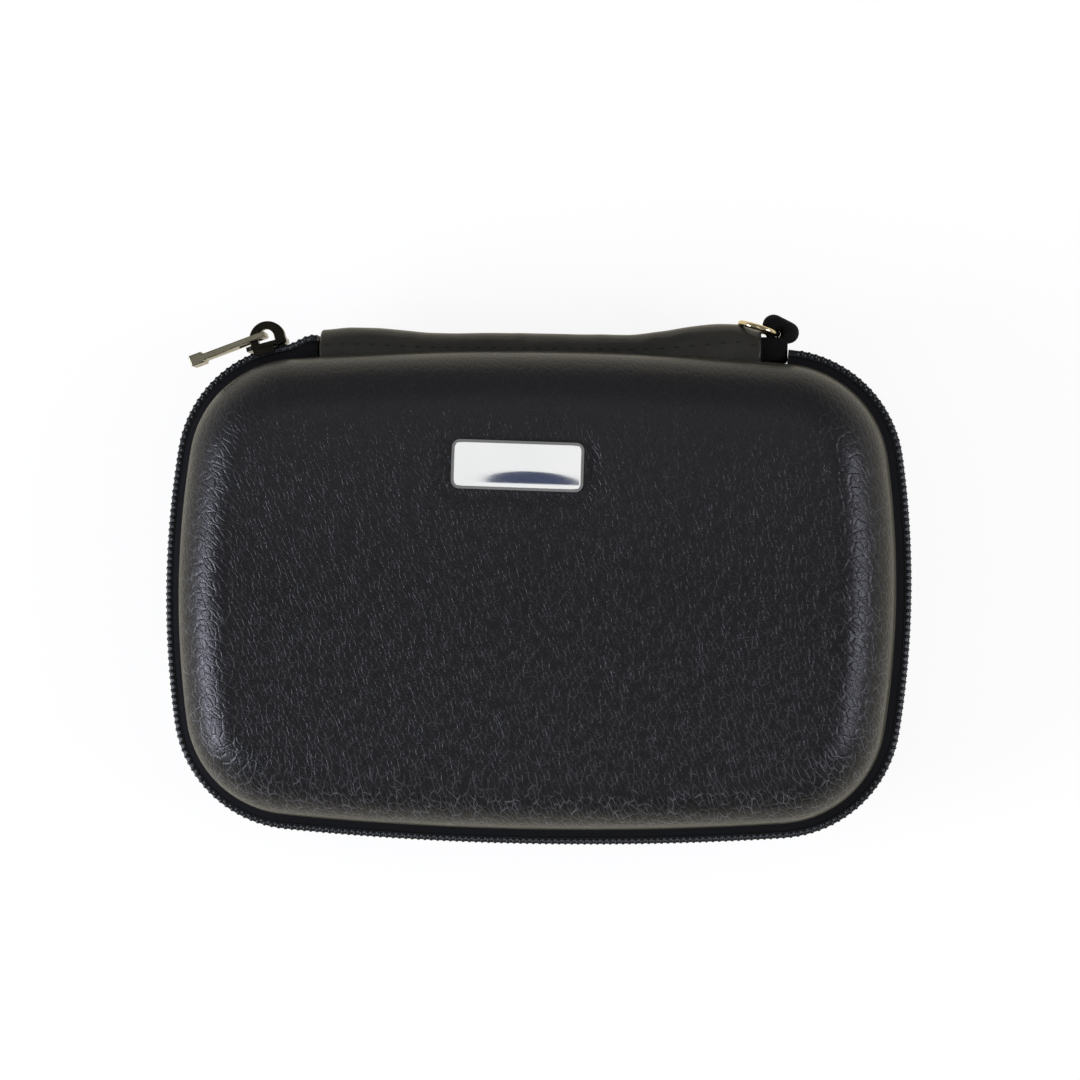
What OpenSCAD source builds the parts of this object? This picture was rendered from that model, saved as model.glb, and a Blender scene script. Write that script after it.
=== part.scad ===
// Case for a portable 2.5-inch drive: two moulded shells, a zip on three sides and a padded spine.
// It lies flat: +Z up, +Y towards the spine, origin at the centre of the flat underside.
// Every ring-shaped piece is one profile, drawn as (distance in from the rim, height), carried
// round the same outline of four bowed sides and four corners.

/* [Outline] */
// Half length of the shells at the rim
half_l = 71.3; // [67:0.1:85]
// Half width of the shells at the rim
half_w = 47.5; // [42:0.5:55]
// Corner radius at the rim
corner_r = 21.7; // [20:0.1:26]
// Radius of the bowed ends
end_r = 182; // [160:2:300]
// Radius of the bowed long sides
long_r = 606; // [560:2:900]

/* [Shells] */
// Height of each shell
shell_h = 14.5; // [13:0.5:22]
// Radius of the rounded edge of each shell
edge_r = 11.5; // [8:0.5:12]
// How far the straight wall leans in below the rounded edge
draft = 0.5; // [0.2:0.1:1]
// Thickness of the leather cover
cover_t = 1.0; // [0.8:0.1:1.4]
// Thickness of the pressed foam shell
foam_t = 3.0; // [2:0.25:4]
// Thickness of the fabric lining
lining_t = 0.6; // [0.4:0.1:1]
// How far the binding stands above the shell's edge
bind_h = 1.6; // [1.2:0.1:1.6]

/* [Zip] */
// Height of the zip band between the two rims
zip_h = 10; // [9:0.5:12]
// Thickness of the tape
tape_t = 0.7; // [0.5:0.1:0.9]
// How far the tape's face stands out from the rim
zip_out = 1.8; // [1.5:0.1:2.2]
// Rise of the tape from the rim to where it runs upright
tape_rise = 2.6; // [2.2:0.1:3]
// Gap between the two tapes
tape_gap = 0.4; // [0.3:0.1:0.6]
// Width of the closed chain of teeth
chain_w = 5.8; // [5.2:0.1:6]
// Thickness of the coil, out from the tape
coil_t = 1.3; // [1.1:0.1:1.5]
// Distance from tooth to tooth along one coil
tooth_pitch = 1.27; // [1.27:0.05:2.0]
// How far each tooth reaches past the middle of the chain
tooth_reach = 0.6; // [0.4:0.1:0.8]
// Gap between teeth that mesh
tooth_gap = 0.12; // [0.1:0.01:0.2]
// Half of the gap that the slider's wedge opens between the coils
wedge_gap = 1.0; // [0.9:0.05:1.2]

/* [Slider and tab] */
// Length of the slider's plates
slider_l = 8.8; // [8.5:0.1:9.5]
// Thickness of the slider's plates
plate_t = 0.9; // [0.8:0.1:1.1]
// Clearance between the slider and the coils
run_gap = 0.2; // [0.15:0.05:0.25]
// Distance of the slider from the start of the corner, in degrees
slider_start = 10.7; // [9:0.1:14]
// Height of the bridge above the outer plate
bridge_h = 4.4; // [4.3:0.1:5.5]
// Thickness of the bridge
bridge_t = 1.1; // [1:0.1:1.2]
// Width of the bridge
bridge_w = 2.4; // [2:0.1:2.6]
// Length of the tab from its pivot to its end
tab_l = 15.4; // [14:0.1:20]
// Width of the tab
tab_w = 6.2; // [6:0.1:6.2]
// Thickness of the tab
tab_t = 1.1; // [0.9:0.1:1.3]
// Length of the thick end of the tab
tab_grip_l = 2.8; // [2:0.1:5]
// Thickness of the thick end of the tab
tab_grip_t = 2.2; // [1.6:0.1:2.4]
// Direction of the tab, in degrees from +X
tab_dir = 201; // [200:0.5:203]

/* [Spine, loop and ring] */
// How far the spine strip stops short of each end of the case
spine_end = 27.3; // [27:0.1:36]
// How far the strip bulges past the middle of the rim
spine_out = 3.8; // [3.2:0.1:4.2]
// Thickness of the strip's leather
spine_t = 1.0; // [0.8:0.1:1.3]
// Gap between the strip and its neighbours
spine_gap = 0.3; // [0.25:0.05:0.5]
// Outer diameter of the ring
ring_d = 8.8; // [8.6:0.1:9]
// Diameter of the ring's wire
ring_wire = 1.2; // [1:0.1:1.4]
// Direction of the ring, in degrees from +X
ring_dir = 164; // [158:1:165]
// Width of the loop's webbing
loop_w = 4.4; // [4:0.1:4.4]
// Thickness of the loop's webbing
loop_t = 1.2; // [1.1:0.1:1.4]
// Width of the loop's sewn-in end
tail_w = 4.6; // [3.6:0.1:5]

/* [Metal plate] */
// Length of the plate
plate_l = 25.8; // [20:0.2:32]
// Width of the plate
plate_w = 9.6; // [8:0.2:12]
// Thickness of the plate at its middle
plate_h = 1.1; // [0.9:0.1:1.4]
// Corner radius of the plate
plate_r = 1.6; // [1:0.1:2.5]
// Radius of the plate's crown, across
plate_crown = 24; // [20:1:60]
// Centre of the plate along X
plate_x = -3; // [-10:0.5:10]
// Centre of the plate along Y
plate_y = 24.3; // [18:0.1:26]
// Margin of the recess round the plate
recess_gap = 1.2; // [0.8:0.1:2]
// Depth of the recess in the leather
recess_d = 0.35; // [0.2:0.05:0.5]
// Thickness of the adhesive pad
pad_t = 0.15; // [0.1:0.05:0.2]

/* [Inside] */
// Width of the elastic straps
strap_w = 18; // [12:1:24]
// Thickness of the elastic straps
strap_t = 1.2; // [0.8:0.1:1.6]
// Distance of each strap from the middle
strap_x = 28; // [22:1:34]
// Depth of the straps below the rim
strap_below = 2.5; // [2:0.5:3.5]
// Thickness of the pocket's net
net_t = 0.6; // [0.5:0.1:0.8]
// Distance from cord to cord of the net
net_pitch = 6.6; // [6.4:0.2:9]
// Width of the net's cords
net_cord = 0.8; // [0.6:0.1:1.2]
// Where the pocket ends, towards the spine
pocket_y = 20; // [14:1:24]
// Width of the pocket's hem
hem_w = 4; // [3:0.5:6]
// Thickness of the pocket's hem
hem_t = 1.6; // [1.2:0.1:2]

/* [Hidden] */

// How far a straight step round the outline may cut inside its arc, and the steps of a rounded edge
chord_gap = 0.08;
edge_steps = 5;
// Smoothness of round things, large and small, and steps from the middle of the back to an end of the strip
arc_fn = 360;
small_fn = 32;
back_steps = 8;

// Outline: centres of the bowed ends and long sides, and of the corner between them
end_cx = half_l - end_r;
long_cy = half_w - long_r;
centre_d = norm([end_cx, long_cy]);
along_d = (pow(end_r - corner_r, 2) - pow(long_r - corner_r, 2) + centre_d * centre_d) / (2 * centre_d);
across_d = sqrt(pow(end_r - corner_r, 2) - along_d * along_d);
corner_x = end_cx - end_cx / centre_d * along_d - long_cy / centre_d * across_d;
corner_y = long_cy / centre_d * along_d - end_cx / centre_d * across_d;
end_a = atan2(corner_y, corner_x - end_cx);
long_a = atan2(corner_x, corner_y - long_cy);
corner_a = 90 - end_a - long_a;

// Heights
case_h = 2 * shell_h + zip_h;
zip_mid = shell_h + zip_h / 2;
strap_z = shell_h - strap_below;

// Layers, in from the outside
foam_in = cover_t;
lining_in = cover_t + foam_t;
cavity_in = cover_t + foam_t + lining_t;

// Half angle of the spine strip on the back's long arc, and where the zip begins and ends there.
// The webbing loop's tail is sewn in between the strip and the zip's end.
spine_l = 2 * (half_l - spine_end);
spine_a = asin(spine_l / 2 / long_r);
zip_start_a = asin((spine_l / 2 + spine_gap) / long_r);
zip_end_a = asin((spine_l / 2 + tail_w + 2 * spine_gap) / long_r);

// The outline as arcs: [centre x, centre y, radius, first angle, angle swept], counter-clockwise.
// The zip starts at the strip's left end and runs round by the left to the strip's right end.
zip_arcs = [
    [0, long_cy, long_r, 90 + zip_start_a, long_a - zip_start_a],
    [-corner_x, corner_y, corner_r, 90 + long_a, corner_a],
    [-end_cx, 0, end_r, 180 - end_a, 2 * end_a],
    [-corner_x, -corner_y, corner_r, 180 + end_a, corner_a],
    [0, -long_cy, long_r, 270 - long_a, 2 * long_a],
    [corner_x, -corner_y, corner_r, 270 + long_a, corner_a],
    [end_cx, 0, end_r, -end_a, 2 * end_a],
    [corner_x, corner_y, corner_r, end_a, corner_a],
    [0, long_cy, long_r, 90 - long_a, long_a - zip_end_a]
];
closing_arc = [0, long_cy, long_r, 90 - zip_end_a, zip_end_a + zip_start_a];

// Slider: its place on the back left corner
coil_in = -zip_out;
coil_out = -zip_out - coil_t;
plate_in_r = corner_r + zip_out + coil_t + run_gap;
slider_a = 90 + long_a + slider_start;

// Length of the zip that the slider leaves open, from the strip to the middle of the slider,
// and the length over which its two halves come together
open_len = long_r * (long_a - zip_start_a) * PI / 180 + corner_r * slider_start * PI / 180;
meet_len = 3;

// Lengths along the zip where each arc ends, measured at the rim
function arc_len(a) = a[2] * a[4] * PI / 180;
function ends(i = 0, so_far = 0) = i == len(zip_arcs) ? [] :
    concat([so_far + arc_len(zip_arcs[i])], ends(i + 1, so_far + arc_len(zip_arcs[i])));
zip_ends = ends();
zip_len = zip_ends[len(zip_arcs) - 1];
// The arc that holds a given length, and the angle there
function arc_at(s, i = 0) = s <= zip_ends[i] || i == len(zip_arcs) - 1 ? i : arc_at(s, i + 1);
function angle_at(s, i) = zip_arcs[i][3] + (s - (i == 0 ? 0 : zip_ends[i - 1])) / zip_arcs[i][2] * 180 / PI;

// Teeth: each coil has one to a pitch, and the two coils mesh half a pitch apart
tooth_t = tooth_pitch / 2 - tooth_gap;
coil_low = zip_mid - chain_w / 2;
core_t = coil_t / 2;
// How far the teeth stand past the core's edges
tooth_lip = 0.1;

// Slider parts, drawn with +X along the zip towards the open end and +Y outwards
slider_h = chain_w + 2 * run_gap + 2 * plate_t;
coil_in_r = corner_r + zip_out;
inner_face = sqrt(pow(coil_in_r - tape_t, 2) - pow(slider_l / 2, 2)) - run_gap;
guide_in = coil_in_r + run_gap;
nose_l = 3;
nose_drop = 1.6;
plate_cut = 1;
end_cut = 0.6;
// Wedge: where it starts, where it is full, and how far it stops short of the plate's end
wedge_x0 = 0.6;
wedge_x1 = 2.2;
wedge_end = 1.2;
// Guides: where they start, and how much shorter than the plate they are
guide_start = 1.3;
guide_short = 4.6;
guide_edge = 0.05;
bridge_foot = 0.8;
// Pivot of the tab, above the outer plate and along it, and the half width of the tab's eye bar
pivot_up = 1.75;
pivot_x = -0.7;
pivot_r = 0.6;
pivot_out = plate_in_r + plate_t + pivot_up;
eye_l = 5.4;
eye_play = 1.2;

// Loop and ring: the webbing is folded into a rounded lobe just outside the coils, with an eye for the
// ring's wire. The lobe is drawn round three folds: [right of the eye, out from it, radius].
eye_r = 1.6;
loop_past = 3.2;
loop_up = 2.65;
folds = [[-0.8, 1.7, loop_t + 1], [2.2, 0.3, loop_t + 0.9], [-0.3, -0.7, loop_t + 0.4]];
tail_top = 0.7;
loop_x = spine_l / 2 + loop_past;
loop_arc_r = long_r + zip_out + coil_t + run_gap + loop_up;
loop_y = long_cy + sqrt(loop_arc_r * loop_arc_r - loop_x * loop_x);
ring_r = ring_d / 2 - ring_wire / 2;
tail_gap = 0.05;

// Strip: a rounded, straight strip of leather, whose back lies just inside the bowed rim
strip_deep = 2.6;
strip_h = zip_h - 2 * spine_gap;
strip_back = 0.3;
seam_lap = 0.05;
strip_bulge = spine_out + strip_back;
strip_r = (pow(strip_h / 2, 2) + strip_bulge * strip_bulge) / (2 * strip_bulge);

// Part of the zip's arcs between two lengths along it
function cut_arcs(s0, s1) = [
    for (i = [0 : len(zip_arcs) - 1])
        let (a = zip_arcs[i], c0 = max(s0, i == 0 ? 0 : zip_ends[i - 1]), c1 = min(s1, zip_ends[i]))
        if (c1 - c0 > 0.001) [a[0], a[1], a[2], angle_at(c0, i), (c1 - c0) / a[2] * 180 / PI]
];

// Stations along a list of arcs: [centre x, centre y, radius, angle, how far the zip is open there]
function arc_steps(a) = ceil(arc_len(a) / sqrt(8 * a[2] * chord_gap));
function stations(arcs, open) = [
    for (a = arcs) for (k = [0 : arc_steps(a) - 1]) [a[0], a[1], a[2], a[3] + a[4] * k / arc_steps(a), open]
];
function last_station(a, open) = [a[0], a[1], a[2], a[3] + a[4], open];
open_stations = concat(
    stations(cut_arcs(0, open_len), 1),
    stations(cut_arcs(open_len, open_len + meet_len), 1),
    stations(cut_arcs(open_len + meet_len, zip_len), 0));
zip_stations = concat(open_stations, [last_station(zip_arcs[len(zip_arcs) - 1], 0)]);
ring_stations = concat(open_stations, stations([closing_arc], 0));

// A point of a profile [distance in, height, drop where the zip is open] at a station. The shells,
// bindings and tapes share their stations, so that their faces meet.
function at_station(p, s) = [s[0] + (s[2] - p[0]) * cos(s[3]), s[1] + (s[2] - p[0]) * sin(s[3]), p[1] - p[2] * s[4]];
function outline(d) = [for (s = ring_stations) [s[0] + (s[2] - d) * cos(s[3]), s[1] + (s[2] - d) * sin(s[3])]];
function zip_line(d) = [for (s = zip_stations) [s[0] + (s[2] - d) * cos(s[3]), s[1] + (s[2] - d) * sin(s[3])]];
function side_faces(n, m, last_n, last_m) = [
    for (i = [0 : last_m], j = [0 : last_n])
        let (i1 = (i + 1) % m, j1 = (j + 1) % n) [i * n + j, i1 * n + j, i1 * n + j1, i * n + j1]
];

// A bowl: a path of profile points from the outer floor up to the rim and down to the inner floor
module bowl(path) {
    n = len(ring_stations);
    m = len(path);
    polyhedron([for (p = path, s = ring_stations) at_station([p[0], p[1], 0], s)],
        concat([[for (j = [0 : n - 1]) j]], side_faces(n, m, n - 1, m - 2),
            [[for (j = [n - 1 : -1 : 0]) (m - 1) * n + j]]));
}

// A band along the zip: a closed profile, up its outer side and down its inner side
module band(profile) {
    n = len(zip_stations);
    m = len(profile);
    polyhedron([for (p = profile, s = zip_stations) at_station(p, s)],
        concat([[for (i = [m - 1 : -1 : 0]) i * n]], side_faces(n, m, n - 2, m - 1),
            [[for (i = [0 : m - 1]) i * n + n - 1]]));
}

// A flat sheet with the outline's shape, a given distance in from the rim
module sheet(d, z0, t) {
    translate([0, 0, z0]) linear_extrude(t) polygon(outline(d));
}

// Path up a shell at a depth t below its surface, from the edge of the flat floor to the rim
edge_x = draft + edge_r;
function curve(t) = [for (k = [0 : edge_steps]) let (a = 90 * k / edge_steps)
    [edge_x - (edge_r - t) * sin(a), edge_r - (edge_r - t) * cos(a)]];
function wall(t) = concat(curve(t), [[t, shell_h]]);
function back_down(path) = [for (i = [len(path) - 1 : -1 : 0]) path[i]];
// How far in a wall at depth t lies, at a height below the rim
function wall_in(t, below) = t + draft * below / (shell_h - edge_r);

// One layer of a shell, lying as the base does
module layer(t0, t1) {
    bowl(concat(wall(t0), back_down(wall(t1))));
}

// Turns a base piece into the lid piece above it
module as_lid() {
    translate([0, 0, case_h]) mirror([0, 0, 1]) children();
}

// The foam shell has a rabbet below its rim, in which the tape is sewn under the cover
module shell() {
    bowl(concat(curve(foam_in), [[foam_in + tape_t + draft, edge_r], [foam_in + tape_t, shell_h]],
        back_down(wall(lining_in))));
}

// Binding over the edge of foam and lining, with its upper edges sloped
bind_gap = 0.2;
bind_slope = 0.6;
bind_in = 0.4;
module binding() {
    x0 = cover_t + tape_t + bind_gap;
    x1 = cavity_in + bind_in;
    n = len(ring_stations);
    profile = [[x0, shell_h, 0], [x0, shell_h + bind_h - bind_slope, 0], [x0 + bind_slope, shell_h + bind_h, 0],
        [x1 - bind_slope, shell_h + bind_h, 0], [x1, shell_h + bind_h - bind_slope, 0], [x1, shell_h, 0]];
    m = len(profile);
    polyhedron([for (p = profile, s = ring_stations) at_station(p, s)], side_faces(n, m, n - 1, m - 1));
}

// Tape: sewn in below the rim, out over the rim and up behind the coil
tape_turn = 0.3;
module zip_tape() {
    top = zip_mid - tape_gap / 2;
    drop = wedge_gap - tape_gap / 2;
    band([[cover_t + draft, edge_r, 0], [cover_t, shell_h, 0], [-zip_out, shell_h + tape_rise, 0],
        [-zip_out, top, drop], [tape_t - zip_out, top, drop], [tape_t - zip_out, shell_h + tape_rise + tape_turn, 0],
        [cover_t + tape_t, shell_h + tape_turn, 0], [cover_t + tape_t, shell_h, 0],
        [cover_t + tape_t + draft, edge_r, 0]]);
}

// One coil: a flat core on the tape with a row of teeth, whose ends mesh beyond the slider
module zip_coil(phase) {
    open_top = zip_mid - wedge_gap;
    translate([0, 0, coil_low + tooth_lip]) linear_extrude(open_top - coil_low - 2 * tooth_lip)
        polygon(concat(zip_line(coil_out + core_t), back_down(zip_line(coil_in))));
    count = floor((zip_len - 2 * tooth_t) / tooth_pitch);
    for (k = [0 : count - 1]) {
        s = tooth_t + (k + phase) * tooth_pitch;
        i = arc_at(s);
        a = zip_arcs[i];
        top = s < open_len + meet_len ? open_top : zip_mid + tooth_reach;
        translate([a[0], a[1], coil_low]) rotate([0, 0, angle_at(s, i)])
            translate([a[2] + zip_out + core_t / 2, -tooth_t / 2, 0])
                cube([coil_t - core_t / 2, tooth_t, top - coil_low]);
    }
}

module base_cover() color("#1c1c1e") layer(0, cover_t);
module base_shell() color("#2c2c2e") shell();
module base_lining() color("#3a3c40") layer(lining_in, cavity_in);
module base_binding() color("#202124") binding();

// Elastic strap from wall to wall, with its ends against the lining
module strap(x) {
    intersection() {
        sheet(wall_in(cavity_in, shell_h - strap_z), strap_z, strap_t);
        translate([x - strap_w / 2, -half_w, 0]) cube([strap_w, 2 * half_w, shell_h]);
    }
}
module strap_left() color("#17181a") strap(-strap_x);
module strap_right() color("#17181a") strap(strap_x);

module zip_tape_base() color("#15171c") zip_tape();
module zip_coil_base() color("#22252b") zip_coil(0);

module plate_outline(extra) {
    l = plate_l / 2 - plate_r;
    w = plate_w / 2 - plate_r;
    translate([plate_x, plate_y]) union() {
        for (sx = [-1, 1], sy = [-1, 1]) translate([sx * l, sy * w]) circle(r = plate_r + extra, $fn = small_fn);
        square([plate_l + 2 * extra, 2 * w], center = true);
        square([2 * l, plate_w + 2 * extra], center = true);
    }
}

module lid_cover() color("#1c1c1e") difference() {
    as_lid() layer(0, cover_t);
    translate([0, 0, case_h - recess_d]) linear_extrude(2 * recess_d) plate_outline(recess_gap);
}
module lid_shell() color("#2c2c2e") as_lid() shell();
module lid_lining() color("#3a3c40") as_lid() layer(lining_in, cavity_in);
module lid_binding() color("#202124") as_lid() binding();
module zip_tape_lid() color("#15171c") as_lid() zip_tape();
module zip_coil_lid() color("#22252b") as_lid() zip_coil(0.5);

pad_in = 0.4;
module plate_adhesive() color("#c8c8c8")
    translate([0, 0, case_h - recess_d]) linear_extrude(pad_t) plate_outline(-pad_in);

// The plate is crowned across its width
module name_plate() color("#e4e6ea") {
    seat = case_h - recess_d + pad_t;
    intersection() {
        translate([0, 0, seat]) linear_extrude(plate_h) plate_outline(0);
        translate([plate_x, plate_y, seat + plate_h - plate_crown]) rotate([0, 90, 0])
            cylinder(r = plate_crown, h = 2 * plate_l, center = true, $fn = arc_fn);
    }
}

// Net of the lid's pocket: it fills the cavity from the front to the hem
net_below = 1.8;
net_top = 1;
net_edge = cavity_in + 2;
net_z = case_h - shell_h + net_below - net_t;
module pocket_net() color("#121214") {
    cols = floor((half_l - cavity_in - net_pitch / 2) / net_pitch);
    rows = floor((pocket_y + half_w - net_edge) / net_pitch);
    hole = net_pitch - net_cord;
    translate([0, 0, net_z]) linear_extrude(net_t) difference() {
        intersection() {
            polygon(outline(wall_in(cavity_in, net_below)));
            translate([-half_l, -half_w]) square([2 * half_l, half_w + pocket_y]);
        }
        for (i = [-cols : cols], j = [0 : rows - 1]) {
            x = i * net_pitch;
            y = pocket_y - net_top - (j + 0.5) * net_pitch;
            if (inside_net(abs(x) + hole / 2, abs(y) + hole / 2)) translate([x, y]) square(hole, center = true);
        }
    }
}
// Whether a point lies well inside the cavity's outline
function inside_net(x, y) =
    norm([x - end_cx, y]) < end_r - net_edge && norm([x, y - long_cy]) < long_r - net_edge &&
    (x < corner_x || y < corner_y || norm([x - corner_x, y - corner_y]) < corner_r - net_edge);

module pocket_hem() color("#17181a") {
    z0 = net_z + net_t / 2 - hem_t / 2;
    intersection() {
        sheet(wall_in(cavity_in, z0 + hem_t - case_h + shell_h), z0, hem_t);
        translate([-half_l, pocket_y, 0]) cube([2 * half_l, hem_w, case_h]);
    }
}

// Spine: leather skin and foam core in a straight strip, and inner fabric on the rim's arc. The strip's
// profile at a depth t below its surface is a bulge with a deep square back.
module strip_2d(t) {
    intersection() {
        translate([strip_back - strip_bulge + strip_r, zip_mid]) circle(r = strip_r - t, $fn = 96);
        translate([-2 * spine_out, zip_mid - strip_h / 2 + t])
            square([2 * spine_out + strip_back, strip_h - 2 * t]);
    }
    translate([strip_back - seam_lap, zip_mid - strip_h / 2 + t]) square([strip_deep, strip_h - 2 * t]);
}
module strip_body(t) {
    difference() {
        translate([-spine_l / 2, half_w, 0]) rotate([90, 0, 90]) linear_extrude(spine_l)
            mirror([1, 0]) strip_2d(t);
        translate([0, 0, shell_h - zip_h]) linear_extrude(3 * zip_h)
            polygon(concat(back_arc(long_r - strip_back + t), [[-half_l, 0], [half_l, 0]]));
    }
}
// Points on an arc along the back, a little past both ends of the strip
function back_arc(r) = [for (k = [-back_steps : back_steps])
    let (a = 90 + 1.1 * spine_a * k / back_steps) [r * cos(a), long_cy + r * sin(a)]];
module spine_strip() color("#1c1c1e") difference() {
    strip_body(0);
    strip_body(spine_t);
}
module spine_core() color("#2c2c2e") strip_body(spine_t);
module spine_lining() color("#3a3c40") intersection() {
    translate([0, 0, zip_mid - strip_h / 2]) linear_extrude(strip_h)
        polygon(concat(back_arc(long_r - strip_back), back_down(back_arc(long_r - strip_back - lining_t))));
    translate([-spine_l / 2, 0, 0]) cube([spine_l, 2 * half_w, case_h]);
}

// Webbing loop: a folded lobe with an eye for the ring, and its ends sewn in beside the strip
module ring_loop() color("#141416") translate([0, 0, zip_mid - loop_w / 2]) linear_extrude(loop_w)
    difference() {
        union() {
            hull() for (f = folds) translate([loop_x + f[0], loop_y + f[1]]) circle(r = f[2], $fn = small_fn);
            loop_tail();
        }
        translate([loop_x, loop_y]) circle(r = eye_r, $fn = 64);
    }
// The tail stands just off the strip's end and runs out to the eye
module loop_tail() {
    x0 = spine_l / 2 + tail_gap;
    y0 = long_cy + long_r * cos(spine_a);
    translate([x0, y0]) square([tail_w, loop_y - tail_top - y0]);
}

module ring() color("#c9a24a")
    translate([loop_x, loop_y, zip_mid]) rotate([0, 0, ring_dir]) translate([ring_r, 0, 0]) rotate([90, 0, 0])
        rotate_extrude($fn = 96) translate([ring_r, 0]) circle(r = ring_wire / 2, $fn = 24);

// Moves a slider piece to its place on the corner
module at_slider() {
    translate([-corner_x, corner_y, zip_mid]) rotate([0, 0, slider_a - 90]) children();
}

// Plate with a pointed nose at the open end and cut corners at the other
module slider_plate_2d() {
    h = slider_h / 2;
    l = slider_l / 2;
    tip = l - end_cut;
    polygon([[-l, plate_cut - h], [plate_cut - l, -h], [l - nose_l, -h], [tip, nose_drop - h],
             [tip, h - nose_drop], [l - nose_l, h], [plate_cut - l, h], [-l, h - plate_cut]]);
}
module upright(y0, y1) {
    translate([0, y1, 0]) rotate([90, 0, 0]) linear_extrude(y1 - y0) children();
}
module slider_body() color("#8a8778") at_slider() {
    l = slider_l / 2;
    guide_h = (slider_h - chain_w) / 2 - run_gap;
    upright(plate_in_r, plate_in_r + plate_t) slider_plate_2d();
    upright(inner_face - plate_t, inner_face) intersection() {
        slider_plate_2d();
        square([slider_l, chain_w - nose_drop], center = true);
    }
    // Wedge between the two coils, joined to both plates
    upright(inner_face - plate_t / 2, plate_in_r + plate_t / 2)
        polygon([[wedge_x0, 0], [wedge_x1, wedge_gap - run_gap], [l - wedge_end, wedge_gap - run_gap],
                 [l - wedge_end, run_gap - wedge_gap], [wedge_x1, run_gap - wedge_gap]]);
    // Guides along both edges of the outer plate
    for (s = [-1, 1])
        translate([guide_start - l, guide_in, s * (slider_h / 2 - guide_h / 2 - guide_edge) - guide_h / 2])
            cube([slider_l - guide_short, plate_in_r + plate_t / 2 - guide_in, guide_h]);
}

// Arch over the outer plate, with a round bar of space for the tab's eye
module slider_bridge() color("#8a8778") at_slider() {
    foot = plate_in_r + plate_t;
    l = slider_l / 2 - bridge_foot;
    translate([0, 0, -bridge_w / 2]) linear_extrude(bridge_w) difference() {
        bridge_2d(l, foot, bridge_h);
        bridge_2d(l - bridge_t, foot - 1, bridge_h + 1 - bridge_t);
    }
}
module bridge_2d(l, y, h) {
    intersection() {
        translate([0, y + h - bridge_arc(l, h)]) circle(r = bridge_arc(l, h), $fn = 96);
        translate([-l, y]) square([2 * l, h]);
    }
}
function bridge_arc(l, h) = (l * l + h * h) / (2 * h);

// Tab: a thin plate with an eye round the bridge and a thick end
module pull_tab() color("#6e6c58") {
    pivot = pivot_point();
    window_w = bridge_w + eye_play;
    translate([pivot[0], pivot[1], zip_mid]) rotate([0, 0, tab_dir]) {
        difference() {
            union() {
                translate([-pivot_r, -tab_t / 2, -tab_w / 2]) cube([tab_l + pivot_r, tab_t, tab_w]);
                translate([tab_l - tab_grip_l, -tab_grip_t / 2, -tab_w / 2]) cube([tab_grip_l, tab_grip_t, tab_w]);
            }
            translate([pivot_r, -tab_t, -window_w / 2]) cube([eye_l - pivot_r, 2 * tab_t, window_w]);
        }
    }
}
// Where the tab turns, from above
function pivot_point() = let (a = slider_a)
    [-corner_x + pivot_out * cos(a) + pivot_x * sin(a), corner_y + pivot_out * sin(a) - pivot_x * cos(a)];

base_cover();
base_shell();
base_lining();
base_binding();
strap_left();
strap_right();
zip_tape_base();
zip_coil_base();
lid_cover();
lid_shell();
lid_lining();
lid_binding();
pocket_net();
pocket_hem();
name_plate();
plate_adhesive();
zip_tape_lid();
zip_coil_lid();
spine_strip();
spine_core();
spine_lining();
ring_loop();
slider_body();
slider_bridge();
pull_tab();
ring();
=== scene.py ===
"""Looks of a zipped case for a portable drive: pebbled leather shells, coil zip, spine, plate and ring."""
from math import acos, asin, atan2, cos, hypot, pi, radians, sin, sqrt

import bmesh
import bpy
from mathutils import Matrix, Vector, noise


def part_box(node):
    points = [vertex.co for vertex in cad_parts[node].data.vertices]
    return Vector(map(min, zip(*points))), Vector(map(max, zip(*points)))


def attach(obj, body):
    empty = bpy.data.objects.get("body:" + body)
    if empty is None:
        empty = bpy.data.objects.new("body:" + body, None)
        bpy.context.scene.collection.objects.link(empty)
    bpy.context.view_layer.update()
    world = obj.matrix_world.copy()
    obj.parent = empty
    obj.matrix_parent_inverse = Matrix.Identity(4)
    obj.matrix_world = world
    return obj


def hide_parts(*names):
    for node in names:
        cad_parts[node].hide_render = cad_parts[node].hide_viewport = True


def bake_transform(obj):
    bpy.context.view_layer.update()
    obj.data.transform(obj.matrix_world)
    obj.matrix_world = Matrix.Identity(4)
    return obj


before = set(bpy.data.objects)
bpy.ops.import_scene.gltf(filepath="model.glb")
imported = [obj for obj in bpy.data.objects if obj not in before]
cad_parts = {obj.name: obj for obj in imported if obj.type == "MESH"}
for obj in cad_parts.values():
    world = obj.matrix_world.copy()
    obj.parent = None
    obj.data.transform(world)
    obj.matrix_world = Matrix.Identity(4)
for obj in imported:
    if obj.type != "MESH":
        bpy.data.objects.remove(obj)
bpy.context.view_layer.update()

bl_info = {
    "name": "Zipped drive case",
    "version": (1, 0, 0),
    "blender": (4, 5, 0),
    "location": "View3D > Sidebar > Drive case",
    "description": "Builds the leather, zip, metal and fabric pieces of a zipped case round its solid model",
    "category": "Object",
}

MM = 0.001
CASE_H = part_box("lid_cover")[1].z
SHELL_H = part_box("base_shell")[1].z
ZIP_MID = CASE_H / 2


def linear(code):
    """Turns an sRGB hex colour into the linear colour that shaders take."""
    parts = [int(code[k:k + 2], 16) / 255 for k in (1, 3, 5)]
    return tuple(c / 12.92 if c <= 0.04045 else ((c + 0.055) / 1.055) ** 2.4 for c in parts) + (1.0,)


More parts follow.
